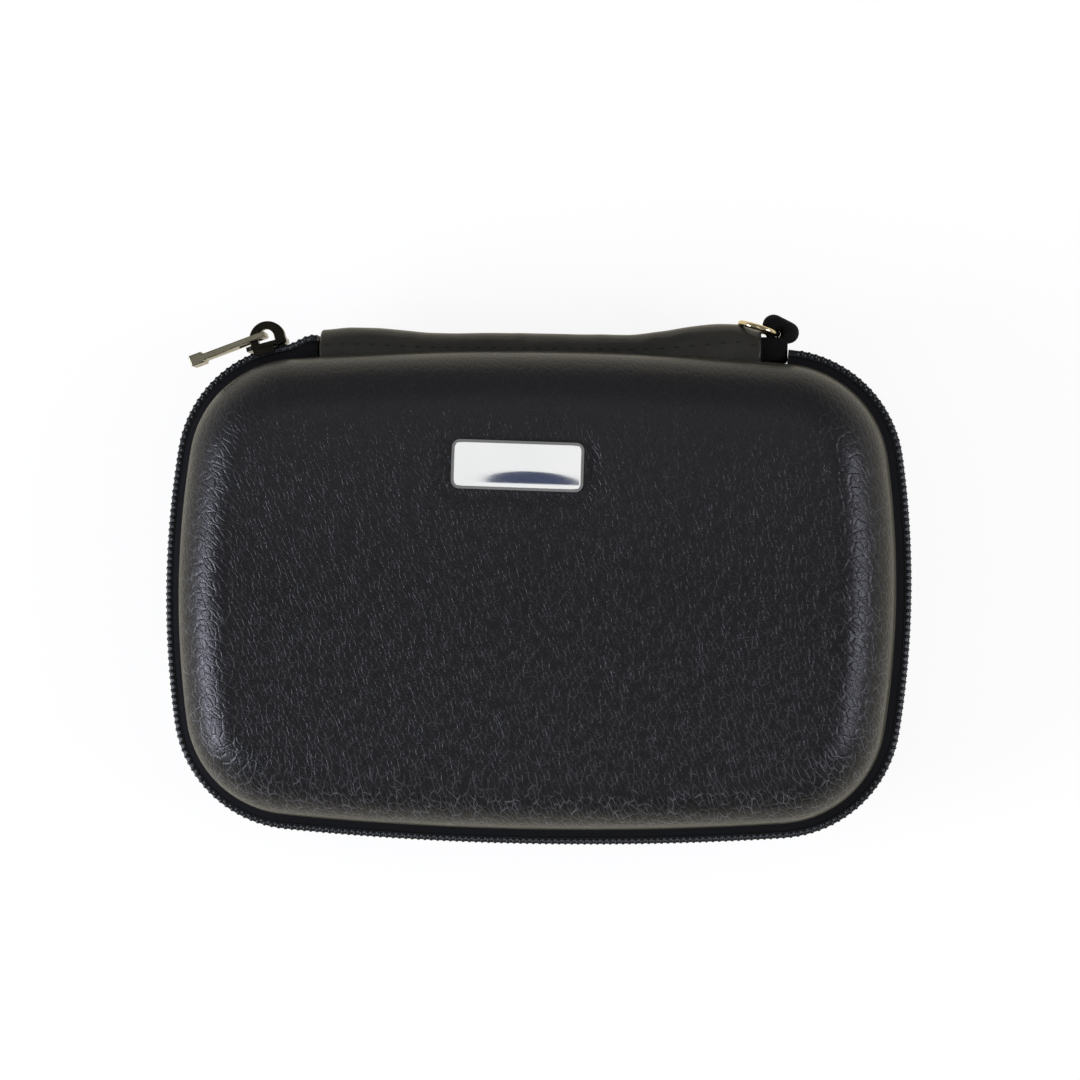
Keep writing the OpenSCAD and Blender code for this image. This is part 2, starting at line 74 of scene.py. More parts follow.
# The rim's outline, in metres and radians, as the solid model has it: half lengths, and the radii of the
# corners, the bowed ends and the bowed long sides.
HALF_L, HALF_W = 71.3 * MM, 47.5 * MM
CORNER_R, END_R, LONG_R = 21.7 * MM, 182 * MM, 606 * MM
COVER_T, FOAM_T, LINING_T, TAPE_T = 1.0 * MM, 3.0 * MM, 0.6 * MM, 0.7 * MM
EDGE_R, DRAFT = 11.5 * MM, 0.5 * MM
ZIP_OUT, COIL_T, CHAIN_W, PITCH = 1.8 * MM, 1.3 * MM, 5.8 * MM, 1.27 * MM
SPINE_L, SPINE_OUT = 88 * MM, 3.8 * MM
PLATE_L, PLATE_W, PLATE_R, PLATE_H = 25.8 * MM, 9.6 * MM, 1.6 * MM, 1.1 * MM
PLATE_X, PLATE_Y, PLATE_CROWN = -3 * MM, 24.3 * MM, 24 * MM
RECESS_D, RECESS_GAP, PAD_T = 0.35 * MM, 1.2 * MM, 0.15 * MM
LOOP_X, LOOP_Y, LOOP_W, TAIL_W = 47.2 * MM, 51.627 * MM, 4.4 * MM, 4.6 * MM
RING_R, WIRE_R, RING_TURN = 3.8 * MM, 0.6 * MM, radians(164)
SLIDER_TURN = radians(105.394)


def outline_arcs():
    """The rim as arcs of (centre x, centre y, radius, first angle, sweep), from the strip's left end."""
    ex, ly = HALF_L - END_R, HALF_W - LONG_R
    d = hypot(ex, ly)
    along = ((END_R - CORNER_R) ** 2 - (LONG_R - CORNER_R) ** 2 + d * d) / (2 * d)
    across = sqrt((END_R - CORNER_R) ** 2 - along * along)
    kx = ex - ex / d * along - ly / d * across
    ky = ly / d * along - ex / d * across
    end, long = atan2(ky, kx - ex), atan2(kx, ky - ly)
    corner = pi / 2 - end - long
    first = asin((SPINE_L / 2 + 0.3 * MM) / LONG_R)
    last = asin((SPINE_L / 2 + TAIL_W + 0.6 * MM) / LONG_R)
    arcs = [(0, ly, LONG_R, pi / 2 + first, long - first), (-kx, ky, CORNER_R, pi / 2 + long, corner),
            (-ex, 0, END_R, pi - end, 2 * end), (-kx, -ky, CORNER_R, pi + end, corner),
            (0, -ly, LONG_R, 1.5 * pi - long, 2 * long), (kx, -ky, CORNER_R, 1.5 * pi + long, corner),
            (ex, 0, END_R, -end, 2 * end), (kx, ky, CORNER_R, end, corner),
            (0, ly, LONG_R, pi / 2 - long, long - last)]
    return arcs, (0, ly, LONG_R, pi / 2 - last, last + first)


ZIP_ARCS, BACK_ARC = outline_arcs()
RING_ARCS = ZIP_ARCS + [BACK_ARC]
ZIP_LEN = sum(a[2] * a[4] for a in ZIP_ARCS)
# The zip's open length beside the strip, and the length over which its halves then meet
OPEN_LEN, MEET_LEN = 9.36 * MM, 3 * MM
# How far the open halves curl out, up to where, and over what length
FLARE, FLARE_END, FLARE_LEN = 1.6 * MM, 6.5 * MM, 5.5 * MM
# A tooth's width along the zip, and how much longer the pull over the mould made the leather's grain
TOOTH_W, STRETCH = 0.72 * PITCH, 1.6


def place_along(s, out):
    """The point that lies a length s along the zip and a distance out from the rim, and its angle."""
    for cx, cy, r, a0, sweep in ZIP_ARCS:
        if s <= r * sweep + 1e-9 or (cx, cy, r, a0, sweep) == ZIP_ARCS[-1]:
            a = a0 + s / r
            return cx + (r + out) * cos(a), cy + (r + out) * sin(a), a
        s -= r * sweep


def length_along(x, y):
    """How far along the zip's first two arcs a point lies, or a metre where it lies past them."""
    (cx, cy, r, a0, sweep), (kx, ky, kr, b0, bend) = ZIP_ARCS[:2]
    if x > kx and y > 0:
        s = (atan2(y - cy, x - cx) - a0) * r
        return s if s > -1 * MM else 1.0
    a = atan2(y - ky, x - kx)
    return r * sweep + (a - b0) * kr if x < kx and y > ky else 1.0


# Meshes


def carry(bm, points, arcs, step, closed=False):
    """Carries a profile of (distance in from the rim, height) points round the arcs."""
    cx, cy, r, a, _ = arcs[0]
    verts = [bm.verts.new((cx + (r - d) * cos(a), cy + (r - d) * sin(a), z)) for d, z in points]
    ends = verts[1:] + verts[:1] if closed else verts[1:]
    geom = verts + [bm.edges.new(pair) for pair in zip(verts, ends)]
    for cx, cy, r, _, sweep in arcs:
        steps = max(1, round(r * sweep / step))
        geom = bmesh.ops.spin(bm, geom=geom, cent=(cx, cy, 0), axis=(0, 0, 1), angle=sweep,
                              steps=steps)["geom_last"]
    # The ends of a full round meet only to a few thousandths of a millimetre
    bmesh.ops.remove_doubles(bm, verts=bm.verts, dist=2e-5)


def close(bm):
    """Fills the open loops and turns the faces outwards."""
    bmesh.ops.holes_fill(bm, edges=[e for e in bm.edges if e.is_boundary], sides=0)
    bmesh.ops.recalc_face_normals(bm, faces=bm.faces)


def edges_of(verts):
    """The edges that meet some vertices, each once."""
    return list({e for v in verts for e in v.link_edges})


def round_off(bm, geom, offset, segments, affect="EDGES"):
    """Rounds edges, or the corners of a flat outline."""
    bmesh.ops.bevel(bm, geom=geom, offset=offset, segments=segments, profile=0.5, affect=affect, material=-1)


def bar(bm, place, size, offset, segments=1):
    """A box with rounded edges at a place."""
    made = bmesh.ops.create_cube(bm, size=1, matrix=place @ Matrix.Diagonal((*size, 1)))["verts"]
    round_off(bm, edges_of(made), offset, segments)


def cut(bm, faces, at, way):
    """Cuts some faces with an upright plane, across x where way is 0 and across y where it is 1."""
    geom = faces + list({e for f in faces for e in f.edges}) + list({v for f in faces for v in f.verts})
    bmesh.ops.bisect_plane(bm, geom=geom, dist=1e-6, plane_co=(at, at, 0),
                           plane_no=(0, 1, 0) if way else (1, 0, 0))


def flip_to_lid(bm):
    """Mirrors base-shaped geometry to the lid's place."""
    bmesh.ops.scale(bm, vec=(1, 1, -1), verts=bm.verts, space=Matrix.Translation((0, 0, -ZIP_MID)))
    bmesh.ops.recalc_face_normals(bm, faces=bm.faces)


def finish_piece(bm, name, body, look, replaces=(), sharp=40, recalc=False):
    """Makes the object of a mesh, with its finish, body and the solids that it stands for. A piece given no
    body is left without one."""
    if recalc:
        bmesh.ops.recalc_face_normals(bm, faces=bm.faces)
    mesh = bpy.data.meshes.new(name)
    bm.to_mesh(mesh)
    bm.free()
    mesh.shade_smooth()
    mesh.set_sharp_from_angle(angle=radians(sharp))
    mesh.materials.append(finish(look))
    piece = bpy.data.objects.new(name, mesh)
    bpy.context.scene.collection.objects.link(piece)
    if body:
        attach(piece, body)
    if replaces:
        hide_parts(*replaces)
    return piece


def merged_copy(node):
    """The mesh of a solid's node with its loose triangles joined and its flat faces dissolved."""
    bm = bmesh.new()
    bm.from_mesh(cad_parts[node].data)
    bmesh.ops.remove_doubles(bm, verts=bm.verts, dist=1e-6)
    bmesh.ops.dissolve_limit(bm, angle_limit=radians(2), verts=bm.verts, edges=bm.edges)
    return bm


def soften(piece, width):
    """Rounds a piece's sharp edges with a bevel."""
    mod = piece.modifiers.new("softened edges", "BEVEL")
    mod.width, mod.segments, mod.limit_method, mod.angle_limit = width, 3, "ANGLE", radians(30)


def dress_node(node, material):
    """Gives a solid's own node its material."""
    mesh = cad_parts[node].data
    mesh.materials.clear()
    mesh.materials.append(material)


def arc_points(t, steps):
    """Profile points up a shell's rounded edge, at a depth t below its surface."""
    edge = DRAFT + EDGE_R
    turns = [pi / 2 * k / steps for k in range(steps + 1)]
    return [(edge - (EDGE_R - t) * sin(a), EDGE_R - (EDGE_R - t) * cos(a)) for a in turns]


# Materials


def add_node(tree, kind, inputs=None, **settings):
    """Adds a node to a tree, with its settings and its values or links."""
    node = tree.nodes.new(kind)
    for key, value in settings.items():
        setattr(node, key, value)
    for key, value in (inputs or {}).items():
        if isinstance(value, bpy.types.NodeSocket):
            tree.links.new(value, node.inputs[key])
        else:
            node.inputs[key].default_value = value
    return node


def new_material(name, **shader):
    """A material with a Principled shader, whose constants are set on its own sockets."""
    mat = bpy.data.materials.new(name)
    mat.use_nodes = True
    tree = mat.node_tree
    tree.nodes.clear()
    bsdf = add_node(tree, "ShaderNodeBsdfPrincipled", {k.replace("_", " "): v for k, v in shader.items()})
    add_node(tree, "ShaderNodeOutputMaterial", {"Surface": bsdf.outputs[0]})
    place = add_node(tree, "ShaderNodeTexCoord").outputs["Object"]
    return mat, tree, bsdf, place


def mix_colours(tree, bsdf, fac, first, second):
    """Drives the base colour between two colours by a factor."""
    mixed = add_node(tree, "ShaderNodeMix", {0: fac, 6: linear(first), 7: linear(second)}, data_type="RGBA")
    tree.links.new(mixed.outputs[2], bsdf.inputs["Base Color"])


def steer(tree, value, low, high, start, end, soft=False):
    """Maps a value from one range to another, with soft ends where that is asked."""
    return add_node(tree, "ShaderNodeMapRange", {0: value, 1: low, 2: high, 3: start, 4: end},
                    interpolation_type="SMOOTHSTEP" if soft else "LINEAR").outputs[0]


def bump(tree, height, distance, strength=1.0, below=None):
    """A bump whose height is in metres at full strength."""
    inputs = {"Height": height, "Distance": distance, "Strength": strength}
    if below is not None:
        inputs["Normal"] = below
    return add_node(tree, "ShaderNodeBump", inputs).outputs[0]


def combine(tree, operation, a, b=0.0):
    """A Math node on two values."""
    return add_node(tree, "ShaderNodeMath", {0: a, 1: b}, operation=operation).outputs[0]


def times(tree, a, b):
    """The product of two values."""
    return combine(tree, "MULTIPLY", a, b)


def speckle(tree, at, scale, detail=2.0, output=0):
    """A noise pattern with about so many spots a metre."""
    inputs = {"Vector": at, "Scale": scale, "Detail": detail}
    return add_node(tree, "ShaderNodeTexNoise", inputs).outputs[output]


def pebbled_leather():
    """Polyurethane leather on a knit backing, embossed with slanting pebbles about 1.8 mm long and 1 mm
    wide: nearly black, with fine pale lines along the creases that are painted highlights. Close to the rim
    the pull over the mould smoothed the grain, and the black turns to a dull olive that is a painted
    reflection of the floor."""
    mat, tree, bsdf, place = new_material("pebbled_leather", Specular_IOR_Level=0.24)
    up = add_node(tree, "ShaderNodeSeparateXYZ", {0: place}).outputs[2]
    off = combine(tree, "ABSOLUTE", combine(tree, "SUBTRACT", up, ZIP_MID))
    hide = add_node(tree, "ShaderNodeAttribute", attribute_name="laid").outputs["Vector"]
    on_hide = add_node(tree, "ShaderNodeSeparateXYZ", {0: hide})
    rim = times(tree, steer(tree, off, 0.0068, 0.0138, 1.0, 0.0, True),
                combine(tree, "SUBTRACT", 1.0, on_hide.outputs[2]))
    # The painted crease highlights are faint on the flat top and fainter towards the spine
    flat = times(tree, steer(tree, off, 0.0180, 0.0195, 1.0, 0.42, True),
                 steer(tree, on_hide.outputs[1], -0.03, 0.042, 1.0, 0.08))
    warp = speckle(tree, hide, 330.0, output=1)
    bent = add_node(tree, "ShaderNodeMix", {0: 0.0016, 4: hide, 5: warp}, data_type="VECTOR").outputs[1]
    pebble = {"Vector": bent, "Rotation": (0, 0, radians(30)), "Scale": (0.95 * MM, 1.8 * MM, 1 * MM)}
    laid = add_node(tree, "ShaderNodeMapping", pebble, vector_type="TEXTURE")

    def creases(scale, width):
        """Lines between the pebbles, 1 at their middle."""
        gap = add_node(tree, "ShaderNodeTexVoronoi", {"Vector": laid.outputs[0], "Scale": scale},
                       feature="DISTANCE_TO_EDGE", voronoi_dimensions="2D").outputs["Distance"]
        return steer(tree, gap, 0.0, width, 1.0, 0.0, True)

    wide, thin, fine = creases(1.0, 0.2), creases(1.0, 0.09), creases(2.1, 0.12)
    patches = speckle(tree, hide, 520.0)
    highlight_patches = steer(tree, patches, 0.38, 0.66, 0.1, 1.0)
    grit = speckle(tree, place, 2600.0, 3.0)
    broad = speckle(tree, place, 40.0)
    # Folds from the pull over the mould run along the rim, about a millimetre apart
    pulled = add_node(tree, "ShaderNodeMapping", {"Vector": place, "Scale": (14 * MM, 14 * MM, 1.1 * MM)},
                      vector_type="TEXTURE")
    folds = speckle(tree, pulled.outputs[0], 1.0)
    low = bump(tree, broad, 0.0010, 0.3)
    rippled = bump(tree, times(tree, folds, rim), 0.0005, 0.7, low)
    kept = times(tree, steer(tree, rim, 0.0, 1.0, 1.0, 0.15),
                 steer(tree, on_hide.outputs[1], 0.020, 0.048, 1.0, 0.45, True))
    depth = combine(tree, "SUBTRACT", 1.0, combine(tree, "ADD", wide, times(tree, fine, 0.25)))
    peb = bump(tree, times(tree, depth, kept), 0.00005, 1.0, rippled)
    tree.links.new(bump(tree, grit, 0.00003, 0.5, peb), bsdf.inputs["Normal"])
    # Painted highlight: pale grey lines along the creases, where light would catch the pebbles, mixed into
    # the black
    lines = combine(tree, "MAXIMUM", thin, times(tree, fine, 0.45))
    pale = times(tree, times(tree, lines, highlight_patches), times(tree, flat, kept))
    # Towards the spine the painted crease highlights are too fine to show, and only make the black a little
    # paler
    pale = combine(tree, "ADD", pale, steer(tree, on_hide.outputs[1], 0.0, 0.045, 0.0, 0.07))
    black = add_node(tree, "ShaderNodeMix", {0: pale, 6: linear("#111112"), 7: linear("#565658")},
                     data_type="RGBA").outputs[2]
    # Painted reflection: close to the rim the black is mixed in streaks towards a dull olive, standing in for
    # the floor seen in the steep walls
    edge = times(tree, rim, steer(tree, off, 0.0072, 0.0120, 1.0, 0.25, True))
    reflection_streaks = times(tree, edge, steer(tree, folds, 0.35, 0.65, 0.55, 1.0))
    olive = add_node(tree, "ShaderNodeMix", {0: reflection_streaks, 6: black, 7: linear("#403e32")}, data_type="RGBA")
    tree.links.new(olive.outputs[2], bsdf.inputs["Base Color"])
    tree.links.new(steer(tree, broad, 0.3, 0.7, 0.29, 0.35), bsdf.inputs["Roughness"])
    return mat


def pressed_foam():
    """Pressed EVA foam, moulded: matt dark grey with closed pores of about half a millimetre."""
    mat, tree, bsdf, place = new_material("pressed_foam", Roughness=0.9, Specular_IOR_Level=0.2)
    pores = add_node(tree, "ShaderNodeTexVoronoi", {"Vector": place, "Scale": 1900.0})
    mix_colours(tree, bsdf, steer(tree, pores.outputs["Distance"], 0.0, 0.8, 0.0, 1.0), "#1b1b1d", "#303033")
    tree.links.new(bump(tree, pores.outputs["Distance"], 0.00012, 0.6), bsdf.inputs["Normal"])
    return mat


def weave(name, dark, light, warp_mm, weft_mm, depth_mm, roughness, sheen=0.0):
    """Woven or knitted threads: two crossed bands, a set number of millimetres apart."""
    mat, tree, bsdf, place = new_material(name, Roughness=roughness, Specular_IOR_Level=0.15,
                                          Sheen_Weight=sheen, Sheen_Roughness=0.4)

    def bands(way, apart_mm, **bent):
        """Bands across an axis. A wave has one for each 2 pi / 20 of scaled length."""
        inputs = {"Vector": place, "Scale": 2 * pi / 20 / (apart_mm * MM), **bent}
        return add_node(tree, "ShaderNodeTexWave", inputs, bands_direction=way).outputs["Fac"]

    uneven = {"Distortion": 0.4, "Detail Scale": 300.0}
    both = times(tree, bands("X", warp_mm, **uneven), bands("Y", weft_mm, **uneven))
    threads = combine(tree, "MAXIMUM", both, times(tree, bands("Z", weft_mm), 0.6))
    fuzz = speckle(tree, place, 1500.0, 3.0)
    height = combine(tree, "ADD", threads, times(tree, fuzz, 0.5))
    mix_colours(tree, bsdf, steer(tree, height, 0.1, 1.3, 0.0, 1.0), dark, light)
    tree.links.new(bump(tree, height, depth_mm * MM, 0.8), bsdf.inputs["Normal"])
    return mat


def nylon_coil():
    """Coil zip of drawn nylon wire, black: smooth and half glossy, so each turn carries a small glint."""
    mat, tree, bsdf, place = new_material("nylon_coil", Roughness=0.35, Specular_IOR_Level=0.35)
    uneven = speckle(tree, place, 900.0)
    mix_colours(tree, bsdf, uneven, "#08090a", "#131618")
    tree.links.new(bump(tree, uneven, 0.00006, 0.4), bsdf.inputs["Normal"])
    return mat


def metal(name, dark, light, roughness, scale, depth_mm):
    """Plated metal, polished: a clear mirror with faint waves and hairlines from polishing."""
    mat, tree, bsdf, place = new_material(name, Metallic=1.0)
    waves = speckle(tree, place, scale)
    lines = add_node(tree, "ShaderNodeMapping", {"Vector": place, "Scale": (1.0, 14.0, 1.0)})
    hair = speckle(tree, lines.outputs[0], 700.0, 3.0)
    mix_colours(tree, bsdf, waves, dark, light)
    tree.links.new(steer(tree, hair, 0.3, 0.7, roughness * 0.8, roughness * 1.3),
                   bsdf.inputs["Roughness"])
    tree.links.new(bump(tree, waves, depth_mm * MM, 0.5), bsdf.inputs["Normal"])
    return mat


def adhesive_pad():
    """Double-sided foam tape, die-cut: off-white and matt, with fine pores."""
    mat, tree, bsdf, place = new_material("foam_tape", Roughness=0.8)
    pores = speckle(tree, place, 2200.0)
    mix_colours(tree, bsdf, pores, "#b9b9b4", "#d8d8d3")
    tree.links.new(bump(tree, pores, 0.00005, 0.5), bsdf.inputs["Normal"])
    return mat


MATERIALS = {}


def finish(name):
    """The material of one of the case's finishes, made once."""
    if name not in MATERIALS:
        MATERIALS[name] = MAKERS[name]()
    return MATERIALS[name]


MAKERS = {
    "leather": pebbled_leather,
    "foam": pressed_foam,
    # Tricot lining, knitted polyester: matt dark grey, loops about 0.7 mm apart
    "lining": lambda: weave("tricot_lining", "#232427", "#45474c", 0.7, 0.9, 0.12, 0.95, 0.3),
    # Binding tape, woven polyester with ribs about 0.8 mm apart
    "binding": lambda: weave("binding_tape", "#121315", "#26272a", 0.8, 0.8, 0.1, 0.8, 0.2),
    # Elastic, woven over rubber cores about 1 mm apart, so that it shows fine ribs along its length
    "elastic": lambda: weave("ribbed_elastic", "#0c0c0d", "#222225", 1.0, 0.5, 0.15, 0.8, 0.2),
    # Webbing, woven nylon: black, threads about 0.6 mm apart
    "webbing": lambda: weave("nylon_webbing", "#050404", "#120e0c", 0.6, 0.6, 0.14, 0.8),
    # Net, warp-knitted polyester: black, its threads too fine to show
    "net": lambda: weave("knitted_net", "#0d0d0e", "#1f1f22", 0.4, 0.4, 0.05, 0.8, 0.1),
    # Zip tape, woven polyester: blue-black, threads about 0.45 mm apart
    "zip_tape": lambda: weave("zip_tape_weave", "#040406", "#0b0c10", 0.45, 0.45, 0.05, 0.9),
    # Sewing thread, bonded polyester: black with a faint shine
    "thread": lambda: weave("bonded_thread", "#151518", "#2b2b2f", 0.3, 0.3, 0.03, 0.5),
    # Thread that holds the coils, polyester: a paler mid grey that stands for painted glints, so that it
    # shows as a dotted line
    "thread_painted_glint": lambda: weave("slate_thread_painted_glint", "#34373a", "#5e6265", 0.3, 0.3, 0.03, 0.45),
    "zip_coil": nylon_coil,
    # Name plate, stamped zinc with bright chrome plating
    "chrome": lambda: metal("chrome_plating", "#e6e7e8", "#f4f4f3", 0.06, 90.0, 0.02),
    # Slider, die-cast zinc with black nickel plating: nearly black, with soft glints
    "gunmetal": lambda: metal("black_nickel", "#1a1915", "#2e2c26", 0.22, 400.0, 0.03),
    # Pull tab, die-cast zinc with its plating worn to a satin warm grey
    "tab_nickel": lambda: metal("satin_nickel", "#7f7c69", "#9b9782", 0.3, 400.0, 0.02),
    # Ring, steel wire with pale gold plating
    "gold": lambda: metal("pale_gold_plating", "#cbb788", "#e2d5b2", 0.14, 300.0, 0.01),
    "adhesive": adhesive_pad,
}


# Shells, linings and bindings


def edge_distance(x, y):
    """Distance of a point outside the name plate's outline, negative inside it."""
    qx = abs(x - PLATE_X) - (PLATE_L / 2 - PLATE_R)
    qy = abs(y - PLATE_Y) - (PLATE_W / 2 - PLATE_R)
    return hypot(max(qx, 0), max(qy, 0)) + min(max(qx, qy), 0) - PLATE_R


def smooth(t):
    """Eases a part of the way, held between 0 and 1."""
    t = min(max(t, 0.0), 1.0)
    return t * t * (3 - 2 * t)


def outward(x, y):
    """The direction out towards the rim from a point near it."""
    kx, ky = -ZIP_ARCS[1][0], ZIP_ARCS[1][1]
    turn, end = atan2(abs(y) - ky, abs(x) - kx), ZIP_ARCS[2][4] / 2
    cx, cy = kx, ky
    if turn < end:
        cx, cy = -ZIP_ARCS[2][0], 0
    elif turn > end + ZIP_ARCS[1][4]:
        cx, cy = 0, ZIP_ARCS[0][1]
    way = Vector((abs(x) - cx, abs(y) - cy)).normalized()
    return Vector((way.x if x > 0 else -way.x, way.y if y > 0 else -way.y))


def lay_flat(bm, flatten, kept=0.0):
    """Stores on each point where it lay on the flat hide, for the grain to follow the surface, and
    how much of the grain the pull at the rim leaves."""
    layer = bm.verts.layers.float_vector.new("laid")
    for v in bm.verts:
        v[layer] = (*flatten(*v.co), kept)


def cover_laid(x, y, z):
    """Where a cover's point lay on the hide. The pull over the mould lengthened the grain by STRETCH."""
    turn = acos(max(1 - z / EDGE_R, 0.0))
    along = EDGE_R * turn + max(z - EDGE_R, 0.0)
    return Vector((x, y)) + outward(x, y) * (along / STRETCH - EDGE_R * sin(turn))


def cover_mesh(lid):
    """A leather cover: the rounded shell's skin with a soft lip at the rim, 1 mm thick."""
    lip = 0.3 * MM
    outer = arc_points(0, 20) + [(DRAFT / 2, (EDGE_R + SHELL_H) / 2), (0.03 * MM, SHELL_H - lip)]
    roll = [(0.1 * MM, SHELL_H - 0.1 * MM), (lip, SHELL_H), (COVER_T, SHELL_H)]
    inner = list(reversed(arc_points(COVER_T, 10)))
    bm = bmesh.new()
    carry(bm, outer + roll + inner, RING_ARCS, 1.1 * MM)
    close(bm)
    # The flat face gets a grid of cuts, finer by the plate, for its recess and slight unevenness
    cuts = [(k * 3.0 * MM, 0) for k in range(-22, 23)] + [(k * 3.0 * MM, 1) for k in range(-13, 14)]
    if lid:
        cuts += [(PLATE_X + k * 0.45 * MM, 0) for k in range(-42, 43)]
        cuts += [(PLATE_Y + k * 0.45 * MM, 1) for k in range(-24, 25)]
    for at, way in cuts:
        cut(bm, [f for f in bm.faces if all(abs(v.co.z) < 1e-6 for v in f.verts)], at, way)
    lay_flat(bm, cover_laid)
    for v in bm.verts:
        x, y, z = v.co
        if z < 1e-6 and lid:
            sink = smooth((RECESS_GAP + 2.6 * MM - edge_distance(x, y)) / (3.0 * MM))
            v.co.z += sink * RECESS_D * 1.05
            wave = noise.noise(Vector((x, y, 0)) * 60) + 0.5 * noise.noise(Vector((x, y, 3)) * 190)
            v.co.z += 0.10 * MM * (wave + 0.4) * smooth((0.062 - abs(x)) / 0.02) * smooth(
                (0.0375 - abs(y)) / 0.012)
    return bm


def layer_mesh(t0, t1, rim):
    """A layer of a shell between two depths, with its profile at the rim."""
    bm = bmesh.new()
    carry(bm, arc_points(t0, 10) + rim + list(reversed(arc_points(t1, 10))), RING_ARCS, 1.6 * MM)
    close(bm)
    return bm


def lining_mesh():
    """The thin lining, closed at the rim."""
    t0, t1 = COVER_T + FOAM_T, COVER_T + FOAM_T + LINING_T
    return layer_mesh(t0, t1, [(t0, SHELL_H), (t1, SHELL_H)])


def shell_mesh():
    """The foam shell, with the rabbet for the zip's tape below its rim."""
    t0, t1 = COVER_T, COVER_T + FOAM_T
    return layer_mesh(t0, t1, [(t0 + TAPE_T + DRAFT, EDGE_R), (t0 + TAPE_T, SHELL_H), (t1, SHELL_H)])


def binding_mesh():
    """Fabric binding folded over the raw edges inside the rim, with a rounded top."""
    x0, x1, h = COVER_T + TAPE_T + 0.2 * MM, COVER_T + FOAM_T + LINING_T + 0.4 * MM, 1.55 * MM
    mid, half = (x0 + x1) / 2, (x1 - x0) / 2
    top = [(mid - half * cos(a), SHELL_H + h - 0.8 * MM + 0.8 * MM * sin(a)) for a in
           [pi * k / 8 for k in range(9)]]
    bm = bmesh.new()
    carry(bm, [(x0, SHELL_H)] + top + [(x1, SHELL_H)], RING_ARCS, 1.2 * MM, closed=True)
    bmesh.ops.recalc_face_normals(bm, faces=bm.faces)
    return bm


class DRIVECASE_OT_covers(bpy.types.Operator):
    """Adds the two leather covers"""
    bl_idname = "drive_case.covers"
    bl_label = "Leather covers"

    def execute(self, context):
        for body in ("base", "lid"):
            bm = cover_mesh(body == "lid")
            if body == "lid":
                flip_to_lid(bm)
            finish_piece(bm, body + "_leather", body, "leather", [body + "_cover"], sharp=60)
        return {"FINISHED"}


class DRIVECASE_OT_shells(bpy.types.Operator):
    """Adds the foam shells, their linings and the bindings over the edges"""
    bl_idname = "drive_case.shells"
    bl_label = "Shells and linings"

    def execute(self, context):
        for body in ("base", "lid"):
            for kind, maker in (("foam", shell_mesh), ("binding", binding_mesh), ("lining", lining_mesh)):
                bm = maker()
                if body == "lid":
                    flip_to_lid(bm)
                node = body + {"foam": "_shell"}.get(kind, "_" + kind)
                finish_piece(bm, f"{body}_{kind}_layer", body, kind, [node], sharp=50)
        return {"FINISHED"}


# Zip


def tape_mesh():
    """One tape: sewn in under the cover, out over the rim and upright behind the coil."""
    top, rise, turn = ZIP_MID - 0.2 * MM, SHELL_H + 2.6 * MM, 0.3 * MM
    c = COVER_T
    outer = [(c + DRAFT, EDGE_R), (c, SHELL_H), (c - 0.5 * MM, SHELL_H + 0.25 * MM),
             (-ZIP_OUT + 0.6 * MM, rise - 1.05 * MM), (-ZIP_OUT + 0.12 * MM, rise - 0.4 * MM),
             (-ZIP_OUT, rise), (-ZIP_OUT, top)]
    inner = [(TAPE_T - ZIP_OUT, top), (TAPE_T - ZIP_OUT, rise + turn),
             (TAPE_T - ZIP_OUT + 0.15 * MM, rise - 0.1 * MM), (c + TAPE_T, SHELL_H + turn),
             (c + TAPE_T, SHELL_H), (c + TAPE_T + DRAFT, EDGE_R)]
    bm = bmesh.new()
    carry(bm, outer + inner, ZIP_ARCS, 1.0 * MM, closed=True)
    close(bm)
    for v in bm.verts:
        if v.co.z > top - 1e-6:
            v.co.z -= 0.8 * MM * openness(length_along(v.co.x, v.co.y))
    spread(bm)
    return bm


def flare(s):
    """How far the open halves of the zip curl out beside the strip."""
    return FLARE * smooth((FLARE_END - s) / FLARE_LEN)


def spread(bm):
    """Moves the open end of a band of the zip out, less where it is held at the rim."""
    cx, cy, r = ZIP_ARCS[0][:3]
    for v in bm.verts:
        way = Vector((v.co.x - cx, v.co.y - cy, 0))
        out = min(max((way.length - r) / ZIP_OUT, 0.0), 1.0)
        v.co += way.normalized() * flare(length_along(v.co.x, v.co.y)) * out


def openness(s):
    """1 where the zip is open, falling to 0 where the slider has brought the halves together."""
    return smooth((OPEN_LEN + MEET_LEN - s) / MEET_LEN)


def coil_mesh(phase):
    """One coil: turns of nylon wire at the zip's pitch on a core cord."""
    bm = bmesh.new()
    low = ZIP_MID - CHAIN_W / 2
    carry(bm, [(-ZIP_OUT, low + 0.15 * MM), (-ZIP_OUT, ZIP_MID - 1.0 * MM),
               (-ZIP_OUT - 1.15 * MM, ZIP_MID - 1.1 * MM), (-ZIP_OUT - 1.15 * MM, low + 0.4 * MM),
               (-ZIP_OUT - 0.9 * MM, low + 0.15 * MM)], ZIP_ARCS, PITCH, closed=True)
    close(bm)
    spread(bm)
    for k in range(int((ZIP_LEN - 1.2 * MM) / PITCH)):
        s = 0.5 * MM + (k + phase) * PITCH
        # Meshed teeth reach 0.75 mm past the middle, and those of the open end stop 1 mm short of it
        top = ZIP_MID + (0.75 - 1.75 * openness(s)) * MM
        x, y, a = place_along(s, ZIP_OUT + COIL_T / 2 + flare(s))
        bar(bm, Matrix.Translation((x, y, (low + top) / 2)) @ Matrix.Rotation(a, 4, "Z"),
            (COIL_T, TOOTH_W, top - low), 0.28 * MM)
    return bm


def stitch_row(bm, points, size):
    """Stitches: short rounded bars, one for each (x, y, z, turn, tilt) of a row."""
    for x, y, z, a, tilt in points:
        place = Matrix.Translation((x, y, z)) @ Matrix.Rotation(a, 4, "Z") @ Matrix.Rotation(tilt, 4, "X")
        bar(bm, place, size, min(size) * 0.35)


